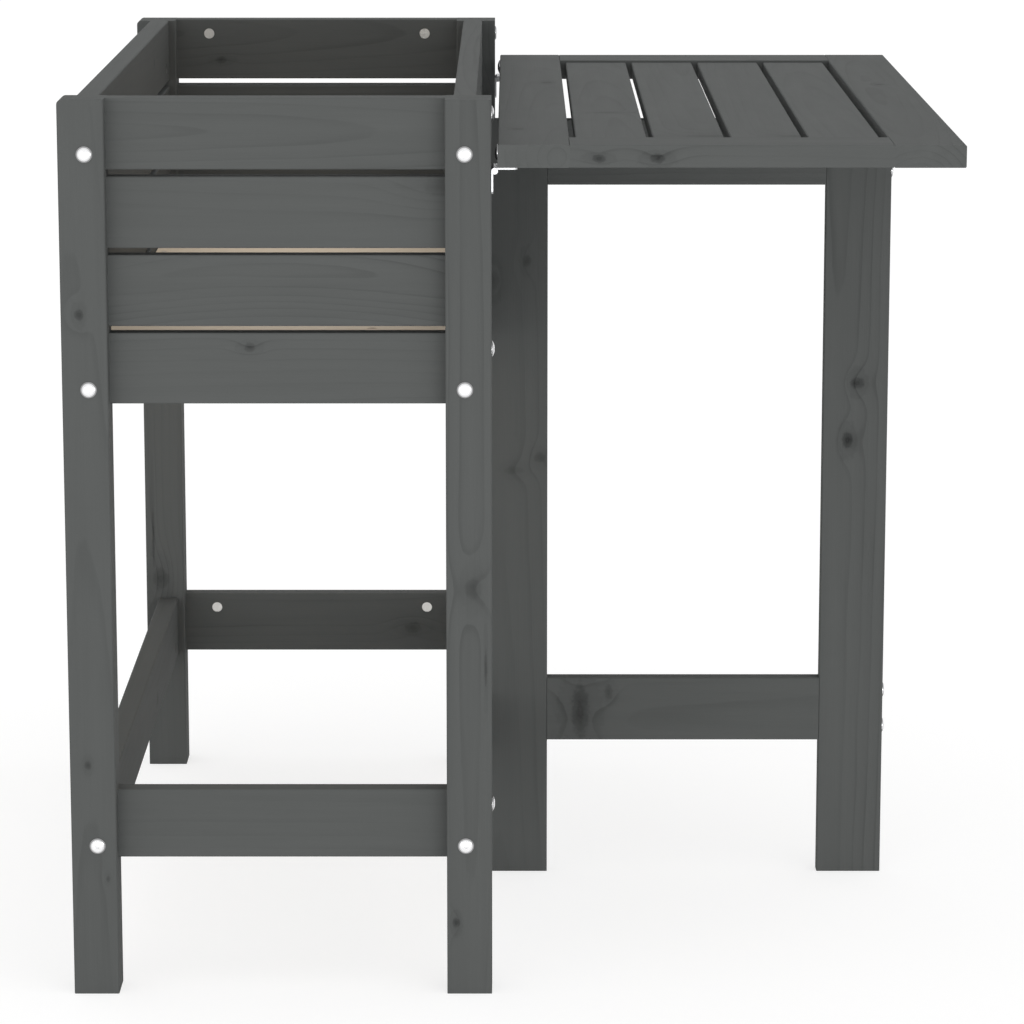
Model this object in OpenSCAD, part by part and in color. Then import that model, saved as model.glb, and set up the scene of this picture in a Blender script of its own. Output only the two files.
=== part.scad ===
// Planter with a folding table.
// A four-post planter carries a hinged slatted table top on its right side.
// A gate-leg frame, hinged to the planter's side, swings out to hold the table up.
// X runs to the right along the front, Y from the front to the rear, Z up.
// The origin is on the ground, under the middle of the whole object.

/* [Planter] */
// Width of the planter over its posts
planter_w = 420; // [380:5:520]
// Depth of the planter and of the table, front to rear
planter_d = 950; // [880:10:1200]
// Height of the posts
planter_h = 900; // [860:10:1000]
// Side of each square post
post_w = 45; // [43:1:56]
// How far the front boards sit behind the faces of the front posts
front_inset = 20; // [16:0.5:22]
// How far the rear boards sit inside the faces of the rear posts
rear_inset = 0; // [0:0.5:2]
// How far the side boards sit inside the outer faces of the posts
side_inset = 15; // [14.5:0.5:18]
// Height of the underside of the stretchers above the ground
stretcher_z = 137; // [110:1:200]
// Rounding of the outer top edge of the two posts on the left
post_round = 5; // [3:0.5:7]

/* [Boards] */
// Height of each wall board and stretcher
board_h = 70; // [64:1:74]
// Thickness of each wall board and stretcher
board_t = 22; // [20:0.5:24]
// Gap between one wall board and the next
board_gap = 7; // [3:0.5:9]
// Chamfer that eases the long edges of all the timber
edge_ease = 1; // [0.5:0.1:1.5]

/* [Planter floor] */
// Depth of the planting space below the rim
floor_depth = 240; // [225:1:250]
// Thickness of the floor boards
floor_t = 16; // [12:0.5:20]
// Drainage gap between one floor board and the next
floor_gap = 6; // [3:0.5:12]
// Space between the floor boards and the walls round them
floor_clear = 1; // [0.5:0.1:2]
// Width of the battens that carry the floor
batten_w = 20; // [16:0.5:24]
// Height of the battens that carry the floor
batten_h = 30; // [24:0.5:32]

/* [Table top] */
// Width of the table top, from its hinged edge to its outer edge
table_w = 454; // [430:1:490]
// Gap between the planter's posts and the table top
table_gap = 6; // [5.5:0.1:8]
// Height of the rim of the planter above the table's surface
table_drop = 44; // [40:0.5:60]
// Thickness of the table's frame
table_t = 22; // [20:0.5:26]
// Width of the boards and rails of the table's frame
table_board_w = 70; // [66:0.5:74]
// Thickness of the slats
slat_t = 16; // [12:0.5:18]
// Gap beside each slat
slat_gap = 6.8; // [4:0.1:10]
// How far the slats lie below the surface of the frame
slat_drop = 2.6; // [1:0.1:3]

/* [Gate leg frame] */
// Distance from the table's outer edge to the outer leg
gate_setback = 33; // [20:1:60]
// Thickness of the frame
gate_t = 18; // [17:0.5:18]
// Width of the legs
gate_leg_w = 70; // [60:1:80]
// Height of the rails
gate_rail_h = 70; // [64:0.5:76]
// Height of the lower rail above the underside of the planter's stretchers
gate_rail_rise = 13; // [8:0.5:16]
// Gap between the frame and the planter's side boards
gate_side_gap = 3.5; // [3:0.1:4.5]
// Running gap between the frame and the table's underside
gate_top_gap = 0.5; // [0.3:0.1:1]
// Gap left between the folded frame's bolt heads and the rear post
gate_fold_gap = 1; // [1:0.5:10]

/* [Bolts, nuts and dowels] */
// Diameter of the bolts
bolt_d = 6; // [5:0.5:7]
// Diameter of the domed bolt heads
bolt_head_d = 16; // [12:0.5:16.5]
// Height of the bolt heads
bolt_head_h = 3; // [2.4:0.1:3]
// Height of the plain rim below the dome of a bolt head
bolt_rim_h = 0.7; // [0.4:0.1:1.2]
// Width of the socket in a bolt head, across its flats
bolt_socket_w = 4; // [3:0.5:5]
// Depth of the socket in a bolt head
bolt_socket_deep = 1.8; // [1:0.1:2.2]
// Clearance round a bolt in its hole
bolt_clear = 0.25; // [0.15:0.05:0.4]
// How far a bolt runs past its nut
bolt_past = 3; // [1:0.5:5]
// Diameter of the barrel nuts
nut_d = 12; // [10:0.5:14]
// Distance from a barrel nut to the end of its board
nut_from_end = 38; // [36:0.5:50]
// How far a barrel nut's face lies below the face of its board
nut_sunk = 1; // [0.4:0.1:2]
// How far a barrel nut reaches past its bolt
nut_back = 5; // [4.5:0.1:6]
// Width of the slot in a barrel nut's face
nut_slot_w = 1.2; // [0.8:0.1:2]
// Depth of the slot in a barrel nut's face
nut_slot_deep = 1.2; // [0.8:0.1:2]
// Distance of the planter's bolts above or below the middle of their boards
bolt_rise = 18; // [16:0.5:20]
// Distance of the gate frame's bolts above and below the middle of their rails
gate_bolt_rise = 20; // [16:0.5:22]
// Diameter of the wooden dowels
dowel_d = 8; // [6:0.5:10]
// Depth of a dowel in each of its two pieces
dowel_depth = 25; // [15:0.5:26]
// Chamfer round the ends of a dowel
dowel_ease = 0.8; // [0.4:0.1:1.2]
// Distance of the planter's dowels above or below the middle of their boards
dowel_rise = 6; // [5.5:0.1:7]
// Distance of the table rails' dowels from the middle of their rail
rail_dowel_off = 22; // [18:0.5:24]
// Diameter of the slats' dowels
slat_dowel_d = 6; // [5:0.5:8]
// Depth of a slat's dowel in each of its two pieces
slat_dowel_depth = 20; // [12:0.5:22]
// Distance of the slats' dowels from the middle of their slat
slat_dowel_off = 12; // [8:0.5:12]
// Clearance round a nut, a dowel or a screw in its hole
fit_clear = 0.05; // [0.02:0.01:0.1]

/* [Hinges and screws] */
// Length of each of the table's hinges
table_hinge_l = 38; // [32:1:38]
// Length of each of the gate frame's hinges
gate_hinge_l = 32; // [26:1:32]
// Radius of a hinge's knuckles
knuckle_r = 3.2; // [3:0.05:3.3]
// Thickness of a hinge's leaves
leaf_t = 1.7; // [1.4:0.05:1.75]
// Reach of a leaf from the pin
leaf_w = 22; // [18:0.5:26]
// Radius of a hinge's pin
pin_r = 1.4; // [1:0.05:1.4]
// Running clearance between the pin and the knuckles
pin_clear = 0.05; // [0.02:0.01:0.1]
// Gap between one knuckle and the next
knuckle_gap = 0.3; // [0.2:0.05:0.5]
// Space left round a turning knuckle
knuckle_relief = 0.3; // [0.2:0.05:0.4]
// Distance of a hinge's screws from its pin
hinge_screw_off = 14; // [10:0.5:16]
// Length of a hinge's screws
hinge_screw_l = 14; // [8:0.5:14]
// Diameter of the screws' shanks
screw_d = 3; // [2.5:0.1:3.5]
// Diameter of the screws' heads
screw_head_d = 5.6; // [5:0.1:7]
// Depth of the screws' countersunk heads
screw_head_h = 1.6; // [1:0.1:2]
// Length of the floor's screws
floor_screw_l = 40; // [30:1:45]
// Length of the battens' screws
batten_screw_l = 35; // [28:1:38]
// Distance of the end screws from the ends of a batten
batten_screw_in = 60; // [30:1:90]

/* [Hidden] */
$fn = 48;

// Colours of the paint, the bare timber and the zinc-plated steel
paint = [0.36, 0.37, 0.36];
pine = [0.83, 0.68, 0.47];
beech = [0.78, 0.62, 0.42];
zinc = [0.76, 0.77, 0.79];

// Signs of the two sides, used wherever a piece repeats on the other side
LEFT = -1;
RIGHT = 1;
FRONT = -1;
REAR = 1;
BOTH = [-1, 1];

// A cut starts this far outside the piece that it goes into
over = 1;

// Plan of the planter and the table
overall_w = planter_w + table_gap + table_w;
planter_x0 = -overall_w / 2;
planter_x1 = planter_x0 + planter_w;
planter_mid_x = (planter_x0 + planter_x1) / 2;
end_y = planter_d / 2;
table_x0 = planter_x1 + table_gap;
table_x1 = overall_w / 2;

// Levels of the wall boards, counted down from the rim, and of the stretchers
ROWS = 4;
STRETCHER = ROWS;
LEVELS = [for (level = [0:STRETCHER]) level];
// The top boards, the bottom boards and the stretchers are bolted, the others dowelled
function is_bolted(level) = level == 0 || level == ROWS - 1 || level == STRETCHER;
function level_z(level) =
    level == STRETCHER ? stretcher_z : planter_h - board_h - level * (board_h + board_gap);
function level_mid(level) = level_z(level) + board_h / 2;

// Outer and middle planes of the walls
function side_outer_x(side) = planter_mid_x + side * (planter_w / 2 - side_inset);
function side_mid_x(side) = side_outer_x(side) - side * board_t / 2;
function cross_outer_y(end) = end * (end_y - (end == FRONT ? front_inset : rear_inset));
function cross_mid_y(end) = cross_outer_y(end) - end * board_t / 2;

// Planter floor
floor_z = planter_h - floor_depth;
floor_x0 = side_outer_x(LEFT) + board_t;
floor_x1 = side_outer_x(RIGHT) - board_t;
floor_y = end_y - post_w - floor_clear;
FLOOR_COUNT = 9;
floor_pitch = (2 * floor_y + floor_gap) / FLOOR_COUNT;
batten_top = floor_z - floor_t;
BATTEN_SCREWS = 3;

// Table top
table_z1 = planter_h - table_drop;
table_z0 = table_z1 - table_t;
table_mid_z = (table_z0 + table_z1) / 2;
rail_x0 = table_x0 + table_board_w;
rail_x1 = table_x1 - table_board_w;
rail_mid_y = end_y - table_board_w / 2;
slat_end_y = end_y - table_board_w;
SLATS = 4;
slat_w = (rail_x1 - rail_x0 - (SLATS + 1) * slat_gap) / SLATS;
slat_z1 = table_z1 - slat_drop;
slat_mid_z = slat_z1 - slat_t / 2;
function slat_x(slat) = rail_x0 + slat_gap + (slat - 1) * (slat_w + slat_gap);

// Gate-leg frame: it folds to the rear, and its outer leg then stops short of the rear post
gate_x0 = side_outer_x(RIGHT) + gate_side_gap;
gate_x1 = table_x1 - gate_setback;
gate_fold_reach = gate_x1 + bolt_head_h - side_outer_x(RIGHT);
gate_y1 = end_y - post_w - gate_fold_gap - gate_fold_reach;
gate_y0 = gate_y1 - gate_t;
gate_mid_y = (gate_y0 + gate_y1) / 2;
gate_top = table_z0 - gate_top_gap;
gate_low_z = stretcher_z + gate_rail_rise;
GATE_RAILS = [gate_low_z + gate_rail_h / 2, gate_top - gate_rail_h / 2];

// Hinge pins: the table's leaves lie on the timber, the gate's leaves are let into it
table_pin_x = planter_x1 + knuckle_r;
table_pin_z = table_z0 - knuckle_r;
gate_pin_x = side_outer_x(RIGHT) - leaf_t + knuckle_r;
gate_pin_y = gate_y1 - leaf_t + knuckle_r;
GATE_HINGES = [STRETCHER, 2];
function gate_hinge_mid(level) = level == STRETCHER ? GATE_RAILS[0] : level_mid(level);
KNUCKLES = 5;
FIXED_KNUCKLES = [0, 2, 4];
MOVING_KNUCKLES = [1, 3];
leaf_corner = 2;
// Places of a leaf's screws, as shares of its length
LEAF_SCREWS = [0.25, 0.75];

// Dome of the bolt heads: part of a sphere, drawn in steps from its middle to the rim
head_r = bolt_head_d / 2;
dome_h = bolt_head_h - bolt_rim_h;
dome_r = (head_r ^ 2 + dome_h ^ 2) / (2 * dome_h);
DOME_STEPS = 6;
function dome_z(r) = dome_r - dome_h - bolt_rim_h - sqrt(dome_r ^ 2 - r ^ 2);

// Section of a piece of timber, with eased edges
module section(width, height) {
    polygon([
        [edge_ease, 0], [width - edge_ease, 0],
        [width, edge_ease], [width, height - edge_ease],
        [width - edge_ease, height], [edge_ease, height],
        [0, height - edge_ease], [0, edge_ease]
    ]);
}

// Timber between two corners, with its length along X, Y or Z
module timber_x(low, high) {
    translate(low)
        rotate([90, 0, 90])
            linear_extrude(high.x - low.x)
                section(high.y - low.y, high.z - low.z);
}

module timber_y(low, high) {
    translate([low.x, high.y, low.z])
        rotate([90, 0, 0])
            linear_extrude(high.y - low.y)
                section(high.x - low.x, high.z - low.z);
}

module timber_z(low, high) {
    translate(low)
        linear_extrude(high.z - low.z)
            section(high.x - low.x, high.y - low.y);
}

// Fastenings are drawn along +Z from the outer face of the piece that they go through

// Bolt with a low domed head and a hexagon socket
module bolt(through) {
    length = through + nut_from_end + nut_d / 2 + bolt_past;
    dome = [for (step = [0:DOME_STEPS])
        let (r = head_r * step / DOME_STEPS) [r, dome_z(r)]];
    difference() {
        rotate_extrude()
            polygon(concat(
                dome,
                [[head_r, 0], [bolt_d / 2, 0], [bolt_d / 2, length], [0, length]]
            ));
        translate([0, 0, -bolt_head_h - over])
            cylinder(d = bolt_socket_w / cos(30), h = bolt_socket_deep + over, $fn = 6);
    }
}

// Barrel nut across the bolt's end, with its face turned to the face of its board
module barrel_nut(through, thickness, turn) {
    face = thickness / 2 - nut_sunk;
    translate([0, 0, through + nut_from_end])
        rotate([0, 0, turn])
            difference() {
                translate([0, -nut_back, 0])
                    rotate([-90, 0, 0])
                        cylinder(d = nut_d, h = face + nut_back);
                translate([0, 0, -nut_d])
                    cylinder(d = bolt_d + 2 * fit_clear, h = 2 * nut_d);
                translate([-nut_d, face - nut_slot_deep, -nut_slot_w / 2])
                    cube([2 * nut_d, nut_slot_deep + over, nut_slot_w]);
            }
}

// Holes for one bolt and its nut
module bolt_holes(through, thickness, turn) {
    length = through + nut_from_end + nut_d / 2 + bolt_past + over;
    translate([0, 0, -over])
        cylinder(d = bolt_d + 2 * bolt_clear, h = length + over);
    translate([0, 0, through + nut_from_end])
        rotate([0, 0, turn])
            translate([0, -nut_back - fit_clear, 0])
                rotate([-90, 0, 0])
                    cylinder(d = nut_d + 2 * fit_clear, h = nut_back + fit_clear + thickness / 2 + over);
}

// Dowel across the joint between two pieces, and its two blind holes
module dowel(through, diameter, depth) {
    radius = diameter / 2;
    length = 2 * depth;
    translate([0, 0, through - depth])
        rotate_extrude()
            polygon([
                [0, 0], [radius - dowel_ease, 0], [radius, dowel_ease],
                [radius, length - dowel_ease], [radius - dowel_ease, length], [0, length]
            ]);
}

module dowel_hole(through, diameter, depth) {
    translate([0, 0, through - depth - fit_clear])
        cylinder(d = diameter + 2 * fit_clear, h = 2 * (depth + fit_clear));
}

// Countersunk screw, and its hole when the clearance is given
module screw(length, clear = 0) {
    rim_r = screw_head_d / 2 + clear;
    shank_r = screw_d / 2 + clear;
    rotate_extrude()
        polygon([
            [0, 0], [rim_r, 0], [shank_r, screw_head_h],
            [shank_r, length - screw_d + clear], [0, length + clear]
        ]);
}

module screw_hole(length) {
    screw(length, fit_clear);
    translate([0, 0, -over])
        cylinder(d = screw_head_d + 2 * fit_clear, h = over);
}

// Places of the fastenings, each from a face of the planter, the table or the gate frame

// Through a post into the end of a front or rear board
module cross_end(side, end, z) {
    translate([planter_mid_x + side * planter_w / 2, cross_mid_y(end), z])
        rotate([0, -side * 90, 0])
            children();
}

// Through a post into the end of a side board
module side_end(side, end, z) {
    translate([side_mid_x(side), end * end_y, z])
        rotate([end * 90, 0, 0])
            children();
}

// Through a board of the table into the end of a rail
module table_end(side, end, offset = 0) {
    translate([side == LEFT ? table_x0 : table_x1, end * rail_mid_y + offset, table_mid_z])
        rotate([0, -side * 90, 0])
            children();
}

// From the outer edge of a table rail into the end of a slat
module slat_end(slat, end, offset) {
    translate([slat_x(slat) + slat_w / 2 + offset, end * end_y, slat_mid_z])
        rotate([end * 90, 0, 0])
            children();
}

// Through a leg of the gate frame into the end of a rail
module gate_end(side, z) {
    translate([side == LEFT ? gate_x0 : gate_x1, gate_mid_y, z])
        rotate([0, -side * 90, 0])
            children();
}

// Turns that bring a barrel nut's face to the inside of the planter or under the table
function cross_turn(end) = end == REAR ? 180 : 0;
function side_turn(side) = side * 90;

// Holes of one joint of the planter, cut in the post and in the board alike
module cross_holes(side, end, level) {
    cross_end(side, end, level_mid(level) - dowel_rise)
        dowel_hole(post_w, dowel_d, dowel_depth);
    cross_end(side, end, level_mid(level) + bolt_rise) {
        if (is_bolted(level))
            bolt_holes(post_w, board_t, cross_turn(end));
        else
            dowel_hole(post_w, dowel_d, dowel_depth);
    }
}

module side_holes(side, end, level) {
    side_end(side, end, level_mid(level) + dowel_rise)
        dowel_hole(post_w, dowel_d, dowel_depth);
    side_end(side, end, level_mid(level) - bolt_rise) {
        if (is_bolted(level))
            bolt_holes(post_w, board_t, side_turn(side));
        else
            dowel_hole(post_w, dowel_d, dowel_depth);
    }
}

// Planter frame

// What the rounding takes off a top edge that faces left
module rounded_off(x, y) {
    translate([x, y - over, planter_h])
        rotate([-90, 0, 0])
            linear_extrude(post_w + 2 * over)
                difference() {
                    translate([-over, -over])
                        square(post_round + over);
                    translate([post_round, post_round])
                        circle(post_round);
                }
}

module post(side, end) {
    outer_x = planter_mid_x + side * planter_w / 2;
    x0 = min(outer_x, outer_x - side * post_w);
    y0 = min(end * end_y, end * (end_y - post_w));
    color(paint)
        difference() {
            timber_z([x0, y0, 0], [x0 + post_w, y0 + post_w, planter_h]);
            if (side == LEFT)
                rounded_off(x0, y0);
            for (level = LEVELS) {
                cross_holes(side, end, level);
                side_holes(side, end, level);
            }
            if (side == RIGHT)
                table_hinge(end)
                    fixed_screws(table_hinge_l) screw_hole(hinge_screw_l);
        }
}

module cross_board(end, level) {
    y0 = cross_mid_y(end) - board_t / 2;
    color(paint)
        difference() {
            timber_x(
                [planter_x0 + post_w, y0, level_z(level)],
                [planter_x1 - post_w, y0 + board_t, level_z(level) + board_h]
            );
            for (side = BOTH)
                cross_holes(side, end, level);
        }
}

module side_board(side, level) {
    x0 = side_mid_x(side) - board_t / 2;
    color(paint)
        difference() {
            timber_y(
                [x0, post_w - end_y, level_z(level)],
                [x0 + board_t, end_y - post_w, level_z(level) + board_h]
            );
            for (end = BOTH)
                side_holes(side, end, level);
            if (level == ROWS - 1)
                batten_screws(side) screw_hole(batten_screw_l);
            if (side == RIGHT && len(search(level, GATE_HINGES)) > 0)
                gate_hinge(level) {
                    leaf_seat(gate_hinge_l);
                    fixed_screws(gate_hinge_l) screw_hole(hinge_screw_l);
                }
        }
}

// Floor of the planter

module batten(side) {
    wall_x = side_outer_x(side) - side * board_t;
    x0 = min(wall_x, wall_x - side * batten_w);
    color(pine)
        difference() {
            timber_y(
                [x0, -floor_y, batten_top - batten_h],
                [x0 + batten_w, floor_y, batten_top]
            );
            batten_screws(side) screw_hole(batten_screw_l);
            floor_screw_places(side) screw_hole(floor_screw_l);
        }
}

// From the inner face of a batten into the bottom board of the side wall
module batten_screws(side) {
    reach = 2 * (floor_y - batten_screw_in) / (BATTEN_SCREWS - 1);
    for (i = [0:BATTEN_SCREWS - 1])
        translate([
            side_outer_x(side) - side * (board_t + batten_w),
            batten_screw_in - floor_y + i * reach,
            batten_top - batten_h / 2
        ])
            rotate([0, side * 90, 0])
                children();
}

// From the top of each floor board into the batten below its end
module floor_screw_places(side) {
    for (i = [0:FLOOR_COUNT - 1])
        translate([
            side_outer_x(side) - side * (board_t + batten_w / 2),
            (i + 0.5) * floor_pitch - floor_y - floor_gap / 2,
            floor_z
        ])
            rotate([180, 0, 0])
                children();
}

module floor_boards() {
    color(pine)
        difference() {
            for (i = [0:FLOOR_COUNT - 1])
                timber_x(
                    [floor_x0 + floor_clear, i * floor_pitch - floor_y, floor_z - floor_t],
                    [
                        floor_x1 - floor_clear,
                        (i + 1) * floor_pitch - floor_gap - floor_y,
                        floor_z
                    ]
                );
            for (side = BOTH)
                floor_screw_places(side) screw_hole(floor_screw_l);
        }
}

module floor_screws() {
    color(zinc)
        for (side = BOTH) {
            floor_screw_places(side) screw(floor_screw_l);
            batten_screws(side) screw(batten_screw_l);
        }
}

// Fastenings of the planter frame

module frame_bolts() {
    color(zinc)
        for (side = BOTH, end = BOTH, level = LEVELS)
            if (is_bolted(level)) {
                cross_end(side, end, level_mid(level) + bolt_rise) bolt(post_w);
                side_end(side, end, level_mid(level) - bolt_rise) bolt(post_w);
            }
}

module frame_barrel_nuts() {
    color(zinc)
        for (side = BOTH, end = BOTH, level = LEVELS)
            if (is_bolted(level)) {
                cross_end(side, end, level_mid(level) + bolt_rise)
                    barrel_nut(post_w, board_t, cross_turn(end));
                side_end(side, end, level_mid(level) - bolt_rise)
                    barrel_nut(post_w, board_t, side_turn(side));
            }
}

module frame_dowels() {
    color(beech)
        for (side = BOTH, end = BOTH, level = LEVELS) {
            cross_end(side, end, level_mid(level) - dowel_rise)
                dowel(post_w, dowel_d, dowel_depth);
            side_end(side, end, level_mid(level) + dowel_rise)
                dowel(post_w, dowel_d, dowel_depth);
            if (!is_bolted(level)) {
                cross_end(side, end, level_mid(level) + bolt_rise)
                    dowel(post_w, dowel_d, dowel_depth);
                side_end(side, end, level_mid(level) - bolt_rise)
                    dowel(post_w, dowel_d, dowel_depth);
            }
        }
}

// Table top

// Holes of the joint between a table board and a rail
module table_end_holes(side, end) {
    table_end(side, end)
        bolt_holes(table_board_w, table_t, side_turn(side));
    for (offset = [-rail_dowel_off, rail_dowel_off])
        table_end(side, end, offset)
            dowel_hole(table_board_w, dowel_d, dowel_depth);
}

module slat_end_holes(slat, end) {
    for (offset = [-slat_dowel_off, slat_dowel_off])
        slat_end(slat, end, offset)
            dowel_hole(table_board_w, slat_dowel_d, slat_dowel_depth);
}

module table_board(side) {
    x0 = side == LEFT ? table_x0 : rail_x1;
    color(paint)
        difference() {
            timber_y([x0, -end_y, table_z0], [x0 + table_board_w, end_y, table_z1]);
            for (end = BOTH) {
                table_end_holes(side, end);
                if (side == LEFT)
                    table_hinge(end)
                        moving_screws(table_hinge_l) screw_hole(hinge_screw_l);
            }
        }
}

module table_rail(end) {
    y0 = end * rail_mid_y - table_board_w / 2;
    color(paint)
        difference() {
            timber_x([rail_x0, y0, table_z0], [rail_x1, y0 + table_board_w, table_z1]);
            for (side = BOTH)
                table_end_holes(side, end);
            for (slat = [1:SLATS])
                slat_end_holes(slat, end);
        }
}

module table_slat(slat) {
    color(paint)
        difference() {
            timber_y(
                [slat_x(slat), -slat_end_y, slat_z1 - slat_t],
                [slat_x(slat) + slat_w, slat_end_y, slat_z1]
            );
            for (end = BOTH)
                slat_end_holes(slat, end);
        }
}

module table_bolts() {
    color(zinc)
        for (side = BOTH, end = BOTH)
            table_end(side, end) bolt(table_board_w);
}

module table_barrel_nuts() {
    color(zinc)
        for (side = BOTH, end = BOTH)
            table_end(side, end) barrel_nut(table_board_w, table_t, side_turn(side));
}

module table_dowels() {
    color(beech) {
        for (side = BOTH, end = BOTH, offset = [-rail_dowel_off, rail_dowel_off])
            table_end(side, end, offset) dowel(table_board_w, dowel_d, dowel_depth);
        for (slat = [1:SLATS], end = BOTH, offset = [-slat_dowel_off, slat_dowel_off])
            slat_end(slat, end, offset)
                dowel(table_board_w, slat_dowel_d, slat_dowel_depth);
    }
}

// Gate-leg frame

module gate_end_holes(side) {
    for (rail = GATE_RAILS, rise = [-gate_bolt_rise, gate_bolt_rise])
        gate_end(side, rail + rise)
            bolt_holes(gate_leg_w, gate_t, 0);
}

module gate_leg(side) {
    x0 = side == LEFT ? gate_x0 : gate_x1 - gate_leg_w;
    color(paint)
        difference() {
            timber_z([x0, gate_y0, 0], [x0 + gate_leg_w, gate_y1, gate_top]);
            gate_end_holes(side);
            if (side == LEFT)
                for (level = GATE_HINGES)
                    gate_hinge(level) {
                        mirror([1, -1, 0]) leaf_seat(gate_hinge_l);
                        moving_screws(gate_hinge_l) screw_hole(hinge_screw_l);
                    }
        }
}

module gate_rail(mid_z) {
    color(paint)
        difference() {
            timber_x(
                [gate_x0 + gate_leg_w, gate_y0, mid_z - gate_rail_h / 2],
                [gate_x1 - gate_leg_w, gate_y1, mid_z + gate_rail_h / 2]
            );
            for (side = BOTH)
                gate_end_holes(side);
        }
}

module gate_bolts() {
    color(zinc)
        for (side = BOTH, rail = GATE_RAILS, rise = [-gate_bolt_rise, gate_bolt_rise])
            gate_end(side, rail + rise)
                bolt(gate_leg_w);
}

module gate_barrel_nuts() {
    color(zinc)
        for (side = BOTH, rail = GATE_RAILS, rise = [-gate_bolt_rise, gate_bolt_rise])
            gate_end(side, rail + rise)
                barrel_nut(gate_leg_w, gate_t, 0);
}

// Hinges: the pin runs along Z, the fixed leaf reaches along Y and the moving leaf along X

// Places of the table's hinges, one at each end, and of the gate's hinges
module table_hinge(end) {
    translate([table_pin_x, end == FRONT ? -end_y : end_y - table_hinge_l, table_pin_z])
        rotate([-90, 0, 0])
            children();
}

module gate_hinge(level) {
    translate([gate_pin_x, gate_pin_y, gate_hinge_mid(level) - gate_hinge_l / 2])
        children();
}

module knuckles(length, which, radius, gap) {
    pitch = length / KNUCKLES;
    for (i = which)
        translate([0, 0, i * pitch + gap / 2])
            cylinder(r = radius, h = pitch - gap);
}

// Leaf with its own knuckles, cut back round those of the other leaf
module leaf(length, own, other) {
    difference() {
        union() {
            difference() {
                translate([-knuckle_r, 0, 0])
                    rotate([90, 0, 90])
                        linear_extrude(leaf_t)
                            polygon([
                                [0, knuckle_gap / 2], [leaf_w - leaf_corner, knuckle_gap / 2],
                                [leaf_w, leaf_corner], [leaf_w, length - leaf_corner],
                                [leaf_w - leaf_corner, length - knuckle_gap / 2],
                                [0, length - knuckle_gap / 2]
                            ]);
                knuckles(length, other, knuckle_r + knuckle_relief, -knuckle_gap);
            }
            knuckles(length, own, knuckle_r, knuckle_gap);
        }
        translate([0, 0, -over])
            cylinder(r = pin_r + pin_clear, h = length + 2 * over);
        fixed_screws(length) screw_hole(hinge_screw_l);
    }
}

module fixed_leaf(length) {
    leaf(length, FIXED_KNUCKLES, MOVING_KNUCKLES);
}

module moving_leaf(length) {
    mirror([1, -1, 0]) leaf(length, MOVING_KNUCKLES, FIXED_KNUCKLES);
}

module hinge_pin(length) {
    cylinder(r = pin_r, h = length);
}

// Pocket that lets a fixed leaf and the knuckles into the timber
module leaf_seat(length) {
    reach = knuckle_r + knuckle_relief;
    translate([-knuckle_r, -reach, -knuckle_relief])
        cube([leaf_t + over, reach + leaf_w + knuckle_relief, length + 2 * knuckle_relief]);
    translate([0, 0, -knuckle_relief])
        cylinder(r = reach, h = length + 2 * knuckle_relief);
}

// Screws of one leaf
module fixed_screws(length) {
    for (share = LEAF_SCREWS)
        translate([leaf_t - knuckle_r, hinge_screw_off, share * length])
            rotate([0, -90, 0])
                children();
}

module moving_screws(length) {
    for (share = LEAF_SCREWS)
        translate([hinge_screw_off, leaf_t - knuckle_r, share * length])
            rotate([90, 0, 0])
                children();
}

module table_hinge_post_leaves() {
    color(zinc)
        for (end = BOTH)
            table_hinge(end) fixed_leaf(table_hinge_l);
}

module table_hinge_top_leaves() {
    color(zinc)
        for (end = BOTH)
            table_hinge(end) moving_leaf(table_hinge_l);
}

module table_hinge_pins() {
    color(zinc)
        for (end = BOTH)
            table_hinge(end) hinge_pin(table_hinge_l);
}

module gate_hinge_planter_leaves() {
    color(zinc)
        for (level = GATE_HINGES)
            gate_hinge(level) fixed_leaf(gate_hinge_l);
}

module gate_hinge_frame_leaves() {
    color(zinc)
        for (level = GATE_HINGES)
            gate_hinge(level) moving_leaf(gate_hinge_l);
}

module gate_hinge_pins() {
    color(zinc)
        for (level = GATE_HINGES)
            gate_hinge(level) hinge_pin(gate_hinge_l);
}

module planter_hinge_screws() {
    color(zinc) {
        for (end = BOTH)
            table_hinge(end) fixed_screws(table_hinge_l) screw(hinge_screw_l);
        for (level = GATE_HINGES)
            gate_hinge(level) fixed_screws(gate_hinge_l) screw(hinge_screw_l);
    }
}

module table_hinge_screws() {
    color(zinc)
        for (end = BOTH)
            table_hinge(end) moving_screws(table_hinge_l) screw(hinge_screw_l);
}

module gate_hinge_screws() {
    color(zinc)
        for (level = GATE_HINGES)
            gate_hinge(level) moving_screws(gate_hinge_l) screw(hinge_screw_l);
}

// The named pieces

module post_front_left() post(LEFT, FRONT);
module post_front_right() post(RIGHT, FRONT);
module post_rear_left() post(LEFT, REAR);
module post_rear_right() post(RIGHT, REAR);
module front_board_1() cross_board(FRONT, 0);
module front_board_2() cross_board(FRONT, 1);
module front_board_3() cross_board(FRONT, 2);
module front_board_4() cross_board(FRONT, 3);
module rear_board_1() cross_board(REAR, 0);
module rear_board_2() cross_board(REAR, 1);
module rear_board_3() cross_board(REAR, 2);
module rear_board_4() cross_board(REAR, 3);
module left_board_1() side_board(LEFT, 0);
module left_board_2() side_board(LEFT, 1);
module left_board_3() side_board(LEFT, 2);
module left_board_4() side_board(LEFT, 3);
module right_board_1() side_board(RIGHT, 0);
module right_board_2() side_board(RIGHT, 1);
module right_board_3() side_board(RIGHT, 2);
module right_board_4() side_board(RIGHT, 3);
module front_stretcher() cross_board(FRONT, STRETCHER);
module rear_stretcher() cross_board(REAR, STRETCHER);
module left_stretcher() side_board(LEFT, STRETCHER);
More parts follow.
